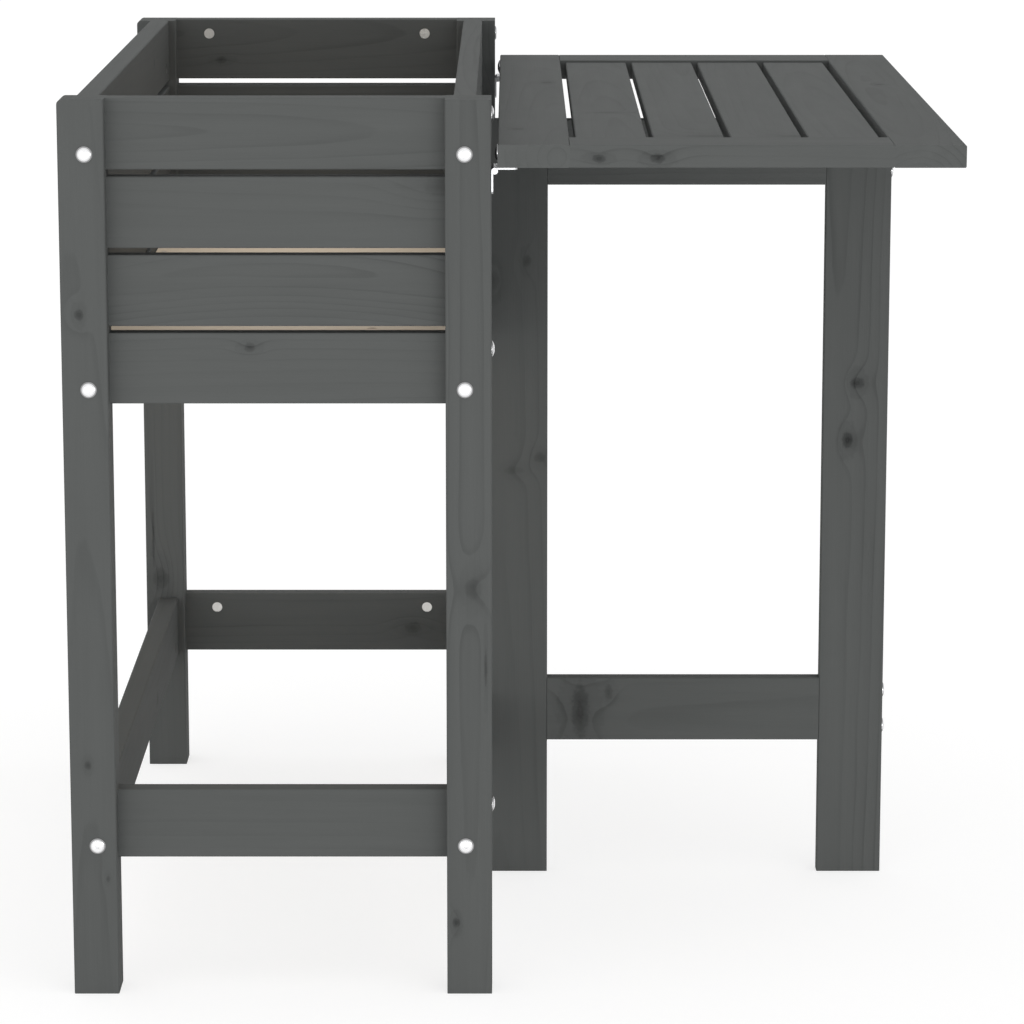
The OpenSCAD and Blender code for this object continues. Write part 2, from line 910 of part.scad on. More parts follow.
module right_stretcher() side_board(RIGHT, STRETCHER);
module floor_batten_left() batten(LEFT);
module floor_batten_right() batten(RIGHT);
module table_hinge_board() table_board(LEFT);
module table_outer_board() table_board(RIGHT);
module table_front_rail() table_rail(FRONT);
module table_rear_rail() table_rail(REAR);
module table_slat_1() table_slat(1);
module table_slat_2() table_slat(2);
module table_slat_3() table_slat(3);
module table_slat_4() table_slat(4);
module gate_inner_leg() gate_leg(LEFT);
module gate_outer_leg() gate_leg(RIGHT);
module gate_top_rail() gate_rail(GATE_RAILS[1]);
module gate_lower_rail() gate_rail(GATE_RAILS[0]);

post_front_left();
post_front_right();
post_rear_left();
post_rear_right();
front_board_1();
front_board_2();
front_board_3();
front_board_4();
rear_board_1();
rear_board_2();
rear_board_3();
rear_board_4();
left_board_1();
left_board_2();
left_board_3();
left_board_4();
right_board_1();
right_board_2();
right_board_3();
right_board_4();
front_stretcher();
rear_stretcher();
left_stretcher();
right_stretcher();
floor_boards();
floor_batten_left();
floor_batten_right();
floor_screws();
frame_bolts();
frame_barrel_nuts();
frame_dowels();
table_hinge_board();
table_outer_board();
table_front_rail();
table_rear_rail();
table_slat_1();
table_slat_2();
table_slat_3();
table_slat_4();
table_bolts();
table_barrel_nuts();
table_dowels();
gate_inner_leg();
gate_outer_leg();
gate_top_rail();
gate_lower_rail();
gate_bolts();
gate_barrel_nuts();
table_hinge_post_leaves();
table_hinge_top_leaves();
table_hinge_pins();
gate_hinge_planter_leaves();
gate_hinge_frame_leaves();
gate_hinge_pins();
planter_hinge_screws();
table_hinge_screws();
gate_hinge_screws();
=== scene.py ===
"""Planter with a folding table: timber, paint, zinc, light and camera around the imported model."""

import math
import random
from collections import namedtuple

import bpy
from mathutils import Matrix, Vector


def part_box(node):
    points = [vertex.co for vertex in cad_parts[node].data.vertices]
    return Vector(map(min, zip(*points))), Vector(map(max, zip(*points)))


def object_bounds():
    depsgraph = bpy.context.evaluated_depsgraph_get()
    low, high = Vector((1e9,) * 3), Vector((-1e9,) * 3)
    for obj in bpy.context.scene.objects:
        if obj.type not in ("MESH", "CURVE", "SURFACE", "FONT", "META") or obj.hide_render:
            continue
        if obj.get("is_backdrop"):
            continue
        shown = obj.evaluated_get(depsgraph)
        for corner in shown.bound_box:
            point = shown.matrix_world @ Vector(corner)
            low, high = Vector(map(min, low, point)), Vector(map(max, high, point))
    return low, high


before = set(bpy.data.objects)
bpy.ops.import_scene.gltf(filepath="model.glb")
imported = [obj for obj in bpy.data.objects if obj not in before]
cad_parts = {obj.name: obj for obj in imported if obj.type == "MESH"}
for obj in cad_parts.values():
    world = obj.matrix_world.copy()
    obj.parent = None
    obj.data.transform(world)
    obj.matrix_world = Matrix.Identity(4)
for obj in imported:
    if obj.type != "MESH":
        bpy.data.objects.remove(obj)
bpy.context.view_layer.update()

SEED = 11
MM = 0.001
X, Y, Z = 0, 1, 2
WHITE = (1, 1, 1, 1)

# The Mix node's colour sockets, which share their names with the sockets of its other modes
MIX_COLOUR_A, MIX_COLOUR_B, MIX_COLOUR_RESULT = 6, 7, 2

# Painted timber, with the axes along its grain, across its width and through its thickness
ROWS = [1, 2, 3, 4]
SLATS = [1, 2, 3, 4]
POSTS = ["post_front_left", "post_front_right", "post_rear_left", "post_rear_right"]
CROSS_BOARDS = [f"{end}_board_{row}" for end in ("front", "rear") for row in ROWS]
CROSS_BOARDS += ["front_stretcher", "rear_stretcher"]
SIDE_BOARDS = [f"{side}_board_{row}" for side in ("left", "right") for row in ROWS]
SIDE_BOARDS += ["left_stretcher", "right_stretcher"]
TABLE_BOARDS = ["table_hinge_board", "table_outer_board"]
TABLE_BOARDS += [f"table_slat_{slat}" for slat in SLATS]
TABLE_RAILS = ["table_front_rail", "table_rear_rail"]
GATE_LEGS = ["gate_inner_leg", "gate_outer_leg"]
GATE_RAILS = ["gate_top_rail", "gate_lower_rail"]
PAINTED = [
    (POSTS, (Z, X, Y)),
    (CROSS_BOARDS, (X, Z, Y)),
    (SIDE_BOARDS, (Y, Z, X)),
    (TABLE_BOARDS, (Y, X, Z)),
    (TABLE_RAILS, (X, Y, Z)),
    (GATE_LEGS, (Z, X, Y)),
    (GATE_RAILS, (X, Z, Y)),
]

# A knot: its place along and across a board, its half-lengths, how dark it is, and whether
# it shows on the board's narrow edge instead of its wide face
Knot = namedtuple("Knot", "along across half_along half_across depth on_edge", defaults=[False])

# Knots that the photograph shows, in mm, with their places in the shared frame
SEEN_KNOTS = {
    "gate_outer_leg": [Knot(548, 374, 6, 7, 0.9), Knot(485, 364, 8, 6, 1.0)],
    "gate_lower_rail": [Knot(75, 183, 9, 28, 0.8), Knot(106, 203, 4, 9, 0.5)],
    "gate_inner_leg": [
        Knot(681, 16, 6, 5, 0.5), Knot(660, -22, 10, 7, 0.35),
        Knot(466, 30, 5, 6, 0.45), Knot(452, 2, 4, 10, 0.25),
    ],
    "post_front_right": [
        Knot(417, -38, 10, 8, 0.35), Knot(74, -56, 5, 4, 0.8), Knot(336, -26, 17, 1.5, 0.6),
    ],
    "post_front_left": [
        Knot(690, -422, 5, 4.5, 0.7), Knot(237, -422, 4, 3.5, 0.4), Knot(120, -404, 3, 2, 0.4),
    ],
    "post_rear_left": [Knot(230, -423, 12, 9, 0.6), Knot(285, -431, 34, 1.5, 0.6)],
    "front_board_2": [Knot(-67, 813, 16, 10, 0.3)],
    "front_board_4": [Knot(-257, 655, 5, 4.5, 0.6)],
    "rear_board_1": [Knot(-343, 852, 6, 4, 0.6)],
    "rear_stretcher": [Knot(-120, 165, 9, 6, 0.5)],
    "table_hinge_board": [Knot(142, 38, 9, 6, 0.5), Knot(-330, 6, 7, 6, 0.4)],
    "table_outer_board": [Knot(120, 405, 8, 6, 0.5)],
    "table_slat_1": [Knot(-150, 100, 5, 17, 0.4)],
    "table_slat_2": [Knot(-372, 196, 14, 26, 0.35)],
    "table_slat_3": [Knot(-372, 283, 10, 20, 0.3)],
    "table_front_rail": [Knot(84, 843, 6, 4, 0.8, True), Knot(141, 843, 7, 5, 0.9, True)],
}
# Boards that the photograph shows without a knot
CLEAR_BOARDS = ["front_board_1", "front_board_3", "front_stretcher"]

# Knots drawn for the other boards: how many, half-length across in mm, stretch along the
# board, how dark, and how far out along and across the board they may lie
KNOT_COUNTS = [0, 1, 1, 2]
KNOT_HALF_LENGTH = (3.5, 6.5)
KNOT_STRETCH = (1.1, 1.6)
KNOT_DEPTH = (0.35, 0.8)
KNOT_SPREAD_ALONG = 0.8
KNOT_SPREAD_ACROSS = 0.7

# How a board is cut from the log: where the log's heart lies across and through the board in
# m, its lean along the board and its bow, the ring width in m and how strongly the rings show
Cut = namedtuple("Cut", "heart lean bow ring_width strength")

# Cuts of the boards on which the photograph shows the rings
SEEN_CUTS = {
    "front_board_1": Cut((0.002, 0.004), (0.0, -0.06), (0.0, 0.0), 0.0105, 0.7),
    "front_board_2": Cut((-0.02, 0.04), (0.02, 0.0), (0.0, 0.1), 0.008, 0.45),
    "front_board_3": Cut((0.021, -0.0228), (0.0, 0.0), (0.51, 0.16), 0.007, 1.0),
    "front_board_4": Cut((-0.05, 0.03), (0.01, 0.02), (0.15, 0.1), 0.009, 0.5),
    "front_stretcher": Cut((0.04, 0.05), (0.0, 0.01), (0.02, 0.02), 0.009, 0.25),
    "rear_board_1": Cut((0.02, 0.0117), (0.0, -0.085), (0.0, 0.0), 0.0105, 0.9),
    "gate_outer_leg": Cut((-0.022, 0.028), (-0.008, 0.012), (0.0, 0.02), 0.0085, 1.2),
    "gate_lower_rail": Cut((-0.01, 0.05), (0.0, 0.02), (0.0, 0.05), 0.012, 0.5),
    "gate_inner_leg": Cut((-0.02, 0.035), (0.01, -0.02), (0.0, 0.03), 0.011, 0.55),
}

# Ranges from which the other boards' cuts are drawn. The heart lies to either side.
HEART_ACROSS = (-0.04, 0.04)
HEART_AWAY = (0.015, 0.05)
LEAN_ACROSS = (-0.02, 0.02)
LEAN_THROUGH = (-0.05, 0.05)
BOW_ACROSS = (-0.06, 0.06)
BOW_THROUGH = (-0.08, 0.08)
RING_WIDTH = (0.006, 0.011)
RING_STRENGTH = (0.45, 1.0)

# A noise pattern: waves per metre on each axis, a step on the seed, detail and roughness
Pattern = namedtuple("Pattern", "scale step detail roughness", defaults=[0.5])
WARP = Pattern((2.6, 9, 9), 0, 2)
RIPPLE = Pattern((9, 70, 70), 5, 3)
KNOT_EDGE = Pattern((170, 170, 170), 11, 3, 0.6)
UNEVEN_YEARS = Pattern((60, 60, 60), 17, 1)
FADE = Pattern((3.5, 22, 22), 23, 2)
FIBRE = Pattern((14, 650, 650), 29, 3, 0.6)
STREAK = Pattern((3, 70, 70), 31, 3, 0.6)
SHEEN = Pattern((12, 40, 40), 37, 3)
PEEL = Pattern((420, 420, 420), 41, 2)
BLOTCH = Pattern((5, 16, 16), 43, 2)
MOTTLE = Pattern((260, 260, 260), 4, 4, 0.6)
SCRATCH = Pattern((2400, 300, 300), 9, 2, 0.6)
NOISE_MIDDLE = 0.5

# How far a seed shifts a pattern on each axis, and the range of the boards' seeds
SEED_SHIFT = (1.0, 1.7, 2.3)
BOARD_SEEDS = (3, 60)

# The look of a knot, with lengths in parts of its own half-lengths
CORE_RAGGED = 0.9
CORE_RING_RATE = 8
CORE_RING_DEPTH = 0.16
CORE_EDGE = (1.3, 0.5)
LENS_STRETCH = (3.2, 1.9)
LENS_RAGGED = 0.7
LENS_SHADE = (1.15, 0.1)
LENS_RIM = (0.62, 0.8, 1.0)
LENS_RIM_DEPTH = 0.35
PUSH_STRETCH = (3.4, 2.6)
PUSH_REACH = 1.6

# The look of the growth rings: how far the patterns move them, in m and in parts of a ring,
# and how a ring darkens over its width, slowly in summer and fast in autumn, until it ends
# sharply in winter. The rings fade in places and show more strongly near a knot.
WARP_REACH = 0.012
RIPPLE_REACH = 0.0022
YEARS_REACH = 0.4
SUMMER = (0.2, 0.9)
SUMMER_DEPTH = 0.35
AUTUMN = (0.72, 0.92)
AUTUMN_DEPTH = 0.65
WINTER = (1.0, 0.95)
FADE_RANGE = (-0.12, 0.2)
FADE_LEAST = 0.3
RINGS_NEAR_KNOT = 1.6

# Paint: its colour, and what each part of the wood below adds to tone, roughness and height
PAINT = (0.1045, 0.1092, 0.1072)
PAINT_TONE = {
    "late": -0.17, "fibre": 0.07, "streak": 0.13, "blotch": 0.10, "knot": -0.50, "halo": -0.17,
}
PAINT_TONE_BASE = 0.03
BOARD_TONES = (0.985, 1.02)
PAINT_ROUGHNESS = {"sheen": 0.12, "late": -0.06}
PAINT_ROUGHNESS_BASE = 0.74
PAINT_SPECULAR = 0.04
PAINT_HEIGHT = {"late": 0.0001, "fibre": 0.0001, "peel": 0.00003, "knot": 0.00015}

# Bare pine: its colours, how much of the late colour shows, tone, roughness and height
PINE_LIGHT = (0.95, 0.79, 0.61)
PINE_LATE = (0.80, 0.55, 0.33)
PINE_KNOT = (0.23, 0.105, 0.045)
PINE_LATE_SHARE = {"late": 0.62, "streak": 0.5}
PINE_TONE = {"fibre": 0.16}
PINE_ROUGHNESS = (0.68, 0.55)
PINE_HEIGHT = {"late": 0.00012, "fibre": 0.00015}

# Zinc: tone, roughness and height, and how squarely a face of a bolt head looks along X or Y
# where the painted shade on its rim ends and where its bright top starts. The painted shade
# stands in for the darker reflection that the rim of a domed head shows.
ZINC_TONE = {"mottle": 0.22, "scratch": 0.08}
ZINC_ROUGHNESS = {"mottle": 0.18}
ZINC_HEIGHT = {"scratch": 0.00001}
PAINTED_RIM_SHADE_TURN = (0.86, 0.945)

# The floor boards lie side by side in one node, and each is cut from the log a step further
# along and through it, in m
FLOOR_COUNT = 9
FLOOR_GAP = 6 * MM
BOARD_MIDDLE = 0.5
STEP_ALONG = 0.731
STEP_THROUGH = 0.0061
# Invented knots of the floor boards in mm, with the board counted from the front, the place in
# X of the shared frame and the place across from the middle of the board
FLOOR_KNOTS = [
    (0, Knot(-140, 18, 5, 4, 0.75)), (1, Knot(-310, -22, 7.5, 5.5, 0.85)),
    (3, Knot(-205, 12, 6, 5, 0.8)), (4, Knot(-345, 27, 4, 3.5, 0.9)),
    (5, Knot(-110, -8, 8.5, 6, 0.8)), (7, Knot(-265, 19, 5, 4.5, 0.85)),
    (8, Knot(-160, -27, 6, 4.5, 0.75)),
]

# The studio: the floor's size and the sun's place in m, the camera's sensor in mm, and the
# turn about X, in degrees, that makes a camera look level
STUDIO_FLOOR_SIZE = 60
STUDIO_FLOOR_COLOUR = (0.9, 0.9, 0.9, 1)
SUN_PLACE = (0, 0, 3)
SENSOR_WIDTH = 36
LEVEL_TURN = 90


class Graph:
    """Short calls that add nodes to one node tree."""

    def __init__(self, tree):
        self.tree = tree

    def feed(self, socket, value):
        """Links a socket to an input, or sets the input to a plain value."""
        if isinstance(value, bpy.types.NodeSocket):
            self.tree.links.new(value, socket)
        else:
            socket.default_value = value

    def add(self, kind, inputs=(), **settings):
        """A new node, with its inputs by name or index and its settings by name."""
        node = self.tree.nodes.new(kind)
        for key, value in settings.items():
            setattr(node, key, value)
        for key, value in dict(inputs).items():
            self.feed(node.inputs[key], value)
        return node

    def math(self, operation, *values):
        node = self.add("ShaderNodeMath", enumerate(values), operation=operation)
        return node.outputs[0]

    def total(self, first, *others):
        for other in others:
            first = self.math("ADD", first, other)
        return first

    def weighted(self, parts, weights, base=0.0):
        """A base plus each named part times its weight."""
        result = base
        for name, weight in weights.items():
            result = self.math("MULTIPLY_ADD", parts[name], weight, result)
        return result

    def split(self, vector):
        return self.add("ShaderNodeSeparateXYZ", {0: vector}).outputs[:]

    def join(self, x, y, z):
        return self.add("ShaderNodeCombineXYZ", {0: x, 1: y, 2: z}).outputs[0]

    def object_place(self):
        return self.add("ShaderNodeTexCoord").outputs["Object"]

    def noise(self, vector, pattern, seed=0.0):
        """A noise pattern about zero."""
        shift = [(seed + pattern.step) * share for share in SEED_SHIFT]
        moved = self.add(
            "ShaderNodeVectorMath",
            {0: vector, 1: pattern.scale, 2: shift},
            operation="MULTIPLY_ADD",
        ).outputs[0]
        made = self.add(
            "ShaderNodeTexNoise",
            {"Vector": moved, "Scale": 1.0, "Detail": pattern.detail,
             "Roughness": pattern.roughness},
        )
        return self.math("SUBTRACT", made.outputs["Fac"], NOISE_MIDDLE)

    def ramp(self, value, start, end, low=0.0, high=1.0):
        """Smooth step of a value between start and end, to the range from low to high."""
        node = self.add(
            "ShaderNodeMapRange",
            {"Value": value, "From Min": start, "From Max": end, "To Min": low, "To Max": high},
            interpolation_type="SMOOTHSTEP",
        )
        return node.outputs["Result"]

    def tint(self, colour, tone):
        """A colour times a tone."""
        node = self.add("ShaderNodeVectorMath", {0: colour, "Scale": tone}, operation="SCALE")
        return node.outputs[0]

    def blend(self, share, first, second):
        """A share of the second colour over the first."""
        node = self.add("ShaderNodeMix", data_type="RGBA")
        self.feed(node.inputs["Factor"], share)
        for index, value in ((MIX_COLOUR_A, first), (MIX_COLOUR_B, second)):
            if not isinstance(value, bpy.types.NodeSocket):
                value = (*value, 1.0)
            self.feed(node.inputs[index], value)
        return node.outputs[MIX_COLOUR_RESULT]

    def bump(self, height):
        """The normal that a height in metres makes."""
        node = self.add("ShaderNodeBump", {"Strength": 1.0, "Distance": 1.0, "Height": height})
        return node.outputs["Normal"]


def new_surface(name):
    """A new material, with its graph and the inputs of its shader."""
    material = bpy.data.materials.new(name)
    material.use_nodes = True
    shader = material.node_tree.nodes["Principled BSDF"]
    return material, Graph(material.node_tree), shader.inputs


def draw_cut(draw):
    """A random cut: most boards are sawn flat, some way off the heart."""
    return Cut(
        (draw.uniform(*HEART_ACROSS), draw.choice([-1, 1]) * draw.uniform(*HEART_AWAY)),
        (draw.uniform(*LEAN_ACROSS), draw.uniform(*LEAN_THROUGH)),
        (draw.uniform(*BOW_ACROSS), draw.uniform(*BOW_THROUGH)),
        draw.uniform(*RING_WIDTH),
        draw.uniform(*RING_STRENGTH),
    )


def in_metres(knot, zero_along, zero_across):
    """A knot that is given in mm, in metres from another zero."""
    return Knot(
        knot.along * MM - zero_along, knot.across * MM - zero_across,
        knot.half_along * MM, knot.half_across * MM, knot.depth, knot.on_edge,
    )


def board_knots(name, order, centre, half, draw):
    """A painted board's knots in its own coordinates, as the photograph shows or as drawn."""
    along, across, through = order
    if name in CLEAR_BOARDS:
        return []
    if name in SEEN_KNOTS:
        return [
            in_metres(knot, centre[along], centre[through if knot.on_edge else across])
            for knot in SEEN_KNOTS[name]
        ]
    found = []
    for _ in range(draw.choice(KNOT_COUNTS)):
        size = draw.uniform(*KNOT_HALF_LENGTH) * MM
        found.append(Knot(
            draw.uniform(-KNOT_SPREAD_ALONG, KNOT_SPREAD_ALONG) * half[along],
            draw.uniform(-KNOT_SPREAD_ACROSS, KNOT_SPREAD_ACROSS) * half[across],
            size * draw.uniform(*KNOT_STRETCH), size, draw.uniform(*KNOT_DEPTH),
        ))
    return found


def oval(graph, along, across, half_along, half_across):
    """Distance from an oval's middle, 1 at its edge."""
    away = graph.math("DIVIDE", along, half_along)
    aside = graph.math("DIVIDE", across, half_across)
    squares = graph.math("MULTIPLY_ADD", away, away, graph.math("MULTIPLY", aside, aside))
    return graph.math("SQRT", squares)


def knot_parts(graph, along, across, knot, ragged):
    """The core of one knot, the lens of dark wood round it and its push on the rings."""

    def oval_of(stretch_along, stretch_across):
        return oval(
            graph, along, across,
            knot.half_along * stretch_along, knot.half_across * stretch_across,
        )

    core = graph.math("MULTIPLY_ADD", ragged, CORE_RAGGED, oval_of(1, 1))
    rings = graph.math("SINE", graph.math("MULTIPLY", core, CORE_RING_RATE))
    body = graph.math("MULTIPLY_ADD", rings, CORE_RING_DEPTH, 1 - CORE_RING_DEPTH)
    body = graph.math("MULTIPLY", body, graph.ramp(core, *CORE_EDGE))
    lens = graph.math("MULTIPLY_ADD", ragged, LENS_RAGGED, oval_of(*LENS_STRETCH))
    rim_start, rim_top, rim_end = LENS_RIM
    rim = graph.math(
        "SUBTRACT", graph.ramp(lens, rim_start, rim_top), graph.ramp(lens, rim_top, rim_end)
    )
    shade = graph.math("MULTIPLY_ADD", rim, LENS_RIM_DEPTH, graph.ramp(lens, *LENS_SHADE))
    far = oval_of(*PUSH_STRETCH)
    push = graph.math("EXPONENT", graph.math("MULTIPLY", graph.math("MULTIPLY", far, far), -1))
    return body, shade, push


def grain(graph, along, across, through, draw, knots, cut):
    """Growth rings, fibres and knots of a pine board, from its own coordinates in metres."""
    seed = draw.uniform(*BOARD_SEEDS)
    board = graph.join(along, across, through)

    # The distance from the log's heart, which knots and noise push about
    square = graph.math("MULTIPLY", along, along)
    side = graph.total(
        across, -cut.heart[0], graph.math("MULTIPLY", along, cut.lean[0]),
        graph.math("MULTIPLY", square, cut.bow[0]),
        graph.math("MULTIPLY", graph.noise(board, WARP, seed), WARP_REACH),
    )
    deep = graph.total(
        through, -cut.heart[1], graph.math("MULTIPLY", along, cut.lean[1]),
        graph.math("MULTIPLY", square, cut.bow[1]),
    )
    radius = graph.math(
        "SQRT", graph.math("MULTIPLY_ADD", side, side, graph.math("MULTIPLY", deep, deep))
    )
    radius = graph.math("MULTIPLY_ADD", graph.noise(board, RIPPLE, seed), RIPPLE_REACH, radius)
    ragged = graph.noise(board, KNOT_EDGE, seed)
    dark, halo, near = 0.0, 0.0, 0.0
    for knot in knots:
        body, shade, push = knot_parts(
            graph, graph.math("SUBTRACT", along, knot.along),
            graph.math("SUBTRACT", through if knot.on_edge else across, knot.across),
            knot, ragged,
        )
        reach = PUSH_REACH * min(knot.half_along, knot.half_across)
        radius = graph.math("MULTIPLY_ADD", push, reach, radius)
        dark = graph.math("MAXIMUM", dark, graph.math("MULTIPLY", body, knot.depth))
        halo = graph.math("MAXIMUM", halo, graph.math("MULTIPLY", shade, knot.depth))
        near = graph.math("MAXIMUM", near, graph.math("MULTIPLY", push, knot.depth))

    # The share of its year that each place is through, and how dark the wood is there
    years = graph.math("DIVIDE", radius, cut.ring_width)
    uneven = graph.noise(radius, UNEVEN_YEARS, seed)
    share = graph.math("FRACT", graph.math("MULTIPLY_ADD", uneven, YEARS_REACH, years))
    late = graph.math("MULTIPLY", graph.ramp(share, *SUMMER), SUMMER_DEPTH)
    late = graph.math("MULTIPLY_ADD", graph.ramp(share, *AUTUMN), AUTUMN_DEPTH, late)
    late = graph.math("MULTIPLY", late, graph.ramp(share, *WINTER))
    fade = graph.ramp(graph.noise(board, FADE, seed), *FADE_RANGE, FADE_LEAST, 1.0)
    strength = graph.math("MULTIPLY_ADD", near, RINGS_NEAR_KNOT, cut.strength)
    late = graph.math("MULTIPLY", late, graph.math("MULTIPLY", fade, strength))
    return {
        "board": board, "seed": seed, "late": late, "knot": dark, "halo": halo,
        "fibre": graph.noise(board, FIBRE, seed), "streak": graph.noise(board, STREAK, seed),
    }


def painted_pine(name, low, high, order, draw):
    """Grey paint on pine: the rings, fibres and knots show through it faintly."""
    material, graph, shader = new_surface(f"paint_{name}")
    places = graph.split(graph.object_place())
    centre = (low + high) / 2
    half = (high - low) / 2
    along, across, through = [
        graph.math("SUBTRACT", places[axis], centre[axis]) for axis in order
    ]
    knots = board_knots(name, order, centre, half, draw)
    cut = SEEN_CUTS.get(name) or draw_cut(draw)
    wood = grain(graph, along, across, through, draw, knots, cut)
    for part, pattern in (("blotch", BLOTCH), ("sheen", SHEEN), ("peel", PEEL)):
        wood[part] = graph.noise(wood["board"], pattern, wood["seed"])
    tone = graph.weighted(wood, PAINT_TONE, draw.uniform(*BOARD_TONES) + PAINT_TONE_BASE)
    rough = graph.weighted(wood, PAINT_ROUGHNESS, PAINT_ROUGHNESS_BASE)
    graph.feed(shader["Base Color"], graph.tint(PAINT, tone))
    graph.feed(shader["Roughness"], rough)
    graph.feed(shader["Specular IOR Level"], PAINT_SPECULAR)
    graph.feed(shader["Normal"], graph.bump(graph.weighted(wood, PAINT_HEIGHT)))
    return material


def row_of_boards(graph, along, across, through, pitch, start):
    """Coordinates that give each board of a row its own place in the log."""
    count = graph.math("DIVIDE", graph.math("SUBTRACT", across, start), pitch)
    index = graph.math("FLOOR", count)
    aside = graph.math("SUBTRACT", graph.math("SUBTRACT", count, index), BOARD_MIDDLE)
    return (
        graph.math("MULTIPLY_ADD", index, STEP_ALONG, along),
        graph.math("MULTIPLY", aside, pitch),
        graph.math("MULTIPLY_ADD", index, STEP_THROUGH, through),
    )


def bare_pine(name, draw, order, pitch=None, start=0.0, knots=()):
    """Planed pine without paint. A pitch is for a node that holds a row of boards."""
    material, graph, shader = new_surface(f"bare_{name}")
    places = graph.split(graph.object_place())
    along, across, through = [places[axis] for axis in order]
    if pitch:
        along, across, through = row_of_boards(graph, along, across, through, pitch, start)
    wood = grain(graph, along, across, through, draw, knots, draw_cut(draw))
    late_share = graph.ramp(graph.weighted(wood, PINE_LATE_SHARE), 0.0, 1.0)
    colour = graph.blend(late_share, PINE_LIGHT, PINE_LATE)
    colour = graph.blend(wood["knot"], colour, PINE_KNOT)
    tone = graph.weighted(wood, PINE_TONE, 1.0)
    graph.feed(shader["Base Color"], graph.tint(colour, tone))
    graph.feed(shader["Roughness"], graph.ramp(wood["late"], 0.0, 1.0, *PINE_ROUGHNESS))
    graph.feed(shader["Normal"], graph.bump(graph.weighted(wood, PINE_HEIGHT)))
    return material


def zinc(name, colour, roughness, rim_painted_shade=None):
    """Zinc plate with a fine mottle and light scratches. A rim shade value darkens the rims of heads
    with painted shade.
    """
    material, graph, shader = new_surface(name)
    place = graph.object_place()
    plate = {"mottle": graph.noise(place, MOTTLE), "scratch": graph.noise(place, SCRATCH)}
    tone = graph.weighted(plate, ZINC_TONE, 1.0)
    # Painted shade on the rims of heads: faces that turn away from the head's axis along X or Y get a
    # darker colour
    if rim_painted_shade:
        turn = graph.split(graph.add("ShaderNodeNewGeometry").outputs["True Normal"])
        facing = graph.math(
            "MAXIMUM", graph.math("ABSOLUTE", turn[X]), graph.math("ABSOLUTE", turn[Y])
        )
        tone = graph.math("MULTIPLY", tone, graph.ramp(facing, *PAINTED_RIM_SHADE_TURN, rim_painted_shade, 1.0))
    graph.feed(shader["Base Color"], graph.tint(colour, tone))
    graph.feed(shader["Metallic"], 1.0)
    graph.feed(shader["Roughness"], graph.weighted(plate, ZINC_ROUGHNESS, roughness))
    graph.feed(shader["Normal"], graph.bump(graph.weighted(plate, ZINC_HEIGHT)))
    return material


def dress(name, material):
    """Gives a CAD node its material, in every slot that it has."""
    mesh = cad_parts[name].data
    if not mesh.materials:
        mesh.materials.append(material)
    for index in range(len(mesh.materials)):
        mesh.materials[index] = material


draw = random.Random(SEED)
for names, order in PAINTED:
    for name in names:
        low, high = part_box(name)
        dress(name, painted_pine(name, low, high, order, draw))

floor_low, floor_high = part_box("floor_boards")
dress("floor_boards", bare_pine(
    "floor_boards", draw, (X, Y, Z),
    pitch=(floor_high.y - floor_low.y + FLOOR_GAP) / FLOOR_COUNT,
    start=floor_low.y - FLOOR_GAP / 2,
    knots=[in_metres(knot, -board * STEP_ALONG, 0) for board, knot in FLOOR_KNOTS],
))
for name in ("floor_batten_left", "floor_batten_right"):
    dress(name, bare_pine(name, draw, (Y, Z, X)))
for name in ("frame_dowels", "table_dowels"):
    dress(name, bare_pine(name, draw, (X, Y, Z)))

# The bolt heads get painted shade on their rims
bolt_zinc = zinc("bolt_zinc", (0.95, 0.95, 0.96), roughness=0.22, rim_painted_shade=0.3)
hinge_zinc = zinc("hinge_zinc", (0.62, 0.63, 0.64), roughness=0.38)
nut_zinc = zinc("nut_zinc", (0.72, 0.71, 0.68), roughness=0.42)
screw_zinc = zinc("screw_zinc", (0.93, 0.93, 0.92), roughness=0.32)
METAL = {
    "frame_bolts": bolt_zinc,
    "table_bolts": bolt_zinc,
    "gate_bolts": bolt_zinc,
    "table_hinge_post_leaves": hinge_zinc,
    "table_hinge_top_leaves": hinge_zinc,
    "table_hinge_pins": hinge_zinc,
    "gate_hinge_planter_leaves": hinge_zinc,
    "gate_hinge_frame_leaves": hinge_zinc,
    "gate_hinge_pins": hinge_zinc,
    "planter_hinge_screws": hinge_zinc,
    "table_hinge_screws": hinge_zinc,
    "gate_hinge_screws": hinge_zinc,
    "frame_barrel_nuts": nut_zinc,
    "table_barrel_nuts": nut_zinc,
    "gate_barrel_nuts": nut_zinc,
    "floor_screws": screw_zinc,
}
for name, material in METAL.items():
    dress(name, material)


def seen_directly(graph):
    """1 for the rays of the camera, of gloss and of glass, and 0 for those that light the object."""
    path = graph.add("ShaderNodeLightPath").outputs
    seen = path["Is Camera Ray"]
    for name in ("Is Glossy Ray", "Is Transmission Ray"):
        seen = graph.math("MAXIMUM", seen, path[name])
    return seen


def make_world(light):
    """White where it is seen, and a plain even light on the object."""
    world = bpy.data.worlds.new("studio")
    bpy.context.scene.world = world
    world.use_nodes = True
    graph = Graph(world.node_tree)
    background = world.node_tree.nodes["Background"].inputs
    level = graph.add(
        "ShaderNodeMapRange", {"Value": seen_directly(graph), "To Min": light, "To Max": 1.0}
    )
    graph.feed(background["Color"], WHITE)
    graph.feed(background["Strength"], level.outputs["Result"])


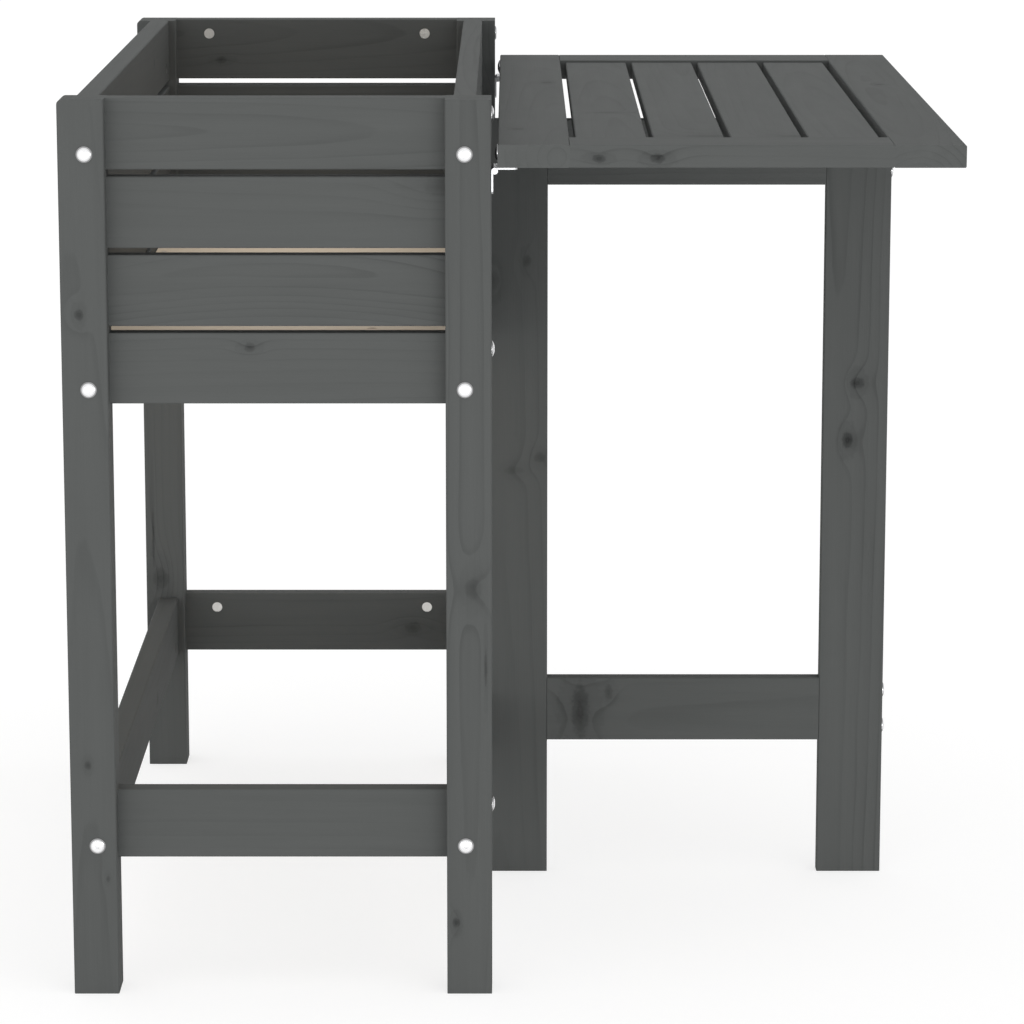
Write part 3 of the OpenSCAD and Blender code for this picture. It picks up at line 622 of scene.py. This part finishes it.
def make_floor(glow, level):
    """A pale floor that keeps a soft shadow. A share of it glows where it is seen, to reach white."""
    bpy.ops.mesh.primitive_plane_add(size=STUDIO_FLOOR_SIZE, location=(0, 0, 0))
    floor = bpy.context.object
    floor.name = "studio_floor"
    material = bpy.data.materials.new("studio_floor")
    material.use_nodes = True
    material.node_tree.nodes.clear()
    graph = Graph(material.node_tree)
    matte = graph.add("ShaderNodeBsdfDiffuse", {"Color": STUDIO_FLOOR_COLOUR})
    shine = graph.add("ShaderNodeEmission", {"Color": WHITE, "Strength": level})
    share = graph.math("MULTIPLY", seen_directly(graph), glow)
    mix = graph.add("ShaderNodeMixShader", {0: share, 1: matte.outputs[0], 2: shine.outputs[0]})
    graph.add("ShaderNodeOutputMaterial", {"Surface": mix.outputs[0]})
    floor.data.materials.append(material)
    floor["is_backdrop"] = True


def place_light(data, place, towards):
    light = bpy.data.objects.new(data.name, data)
    light.location = place
    light.rotation_mode = "QUATERNION"
    light.rotation_quaternion = Vector(towards).to_track_quat("-Z", "Y")
    bpy.context.scene.collection.objects.link(light)
    return light


def make_sun(strength, towards, spread):
    """A soft key light from above, the front and the right."""
    data = bpy.data.lights.new("key", "SUN")
    data.energy = strength
    data.angle = math.radians(spread)
    place_light(data, SUN_PLACE, towards)


def make_softbox(power, place, towards, width, height):
    """A wide low light in front, which also reaches the frame under the table."""
    data = bpy.data.lights.new("fill", "AREA")
    data.shape = "RECTANGLE"
    data.size = width
    data.size_y = height
    data.energy = power
    place_light(data, place, towards).visible_camera = False


def make_camera(place, pitch, lens):
    """A camera that looks to the rear, tilted down by the pitch in degrees."""
    data = bpy.data.cameras.new("camera")
    data.lens = lens
    data.sensor_width = SENSOR_WIDTH
    camera = bpy.data.objects.new("camera", data)
    camera.location = place
    camera.rotation_euler = (math.radians(LEVEL_TURN - pitch), 0, 0)
    bpy.context.scene.collection.objects.link(camera)
    bpy.context.scene.camera = camera


make_world(light=0.79)
make_floor(glow=0.6, level=1.2)
make_sun(strength=0.27, towards=(-0.33, 0.22, -0.9), spread=40)
make_softbox(power=66, place=(0.3, -5.0, 0.55), towards=(0, 1, 0), width=7.0, height=1.1)
make_camera(place=(0, -4.58, 1.3206), pitch=11.38, lens=149.7)

bpy.context.scene.view_settings.view_transform = "Standard"

low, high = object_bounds()
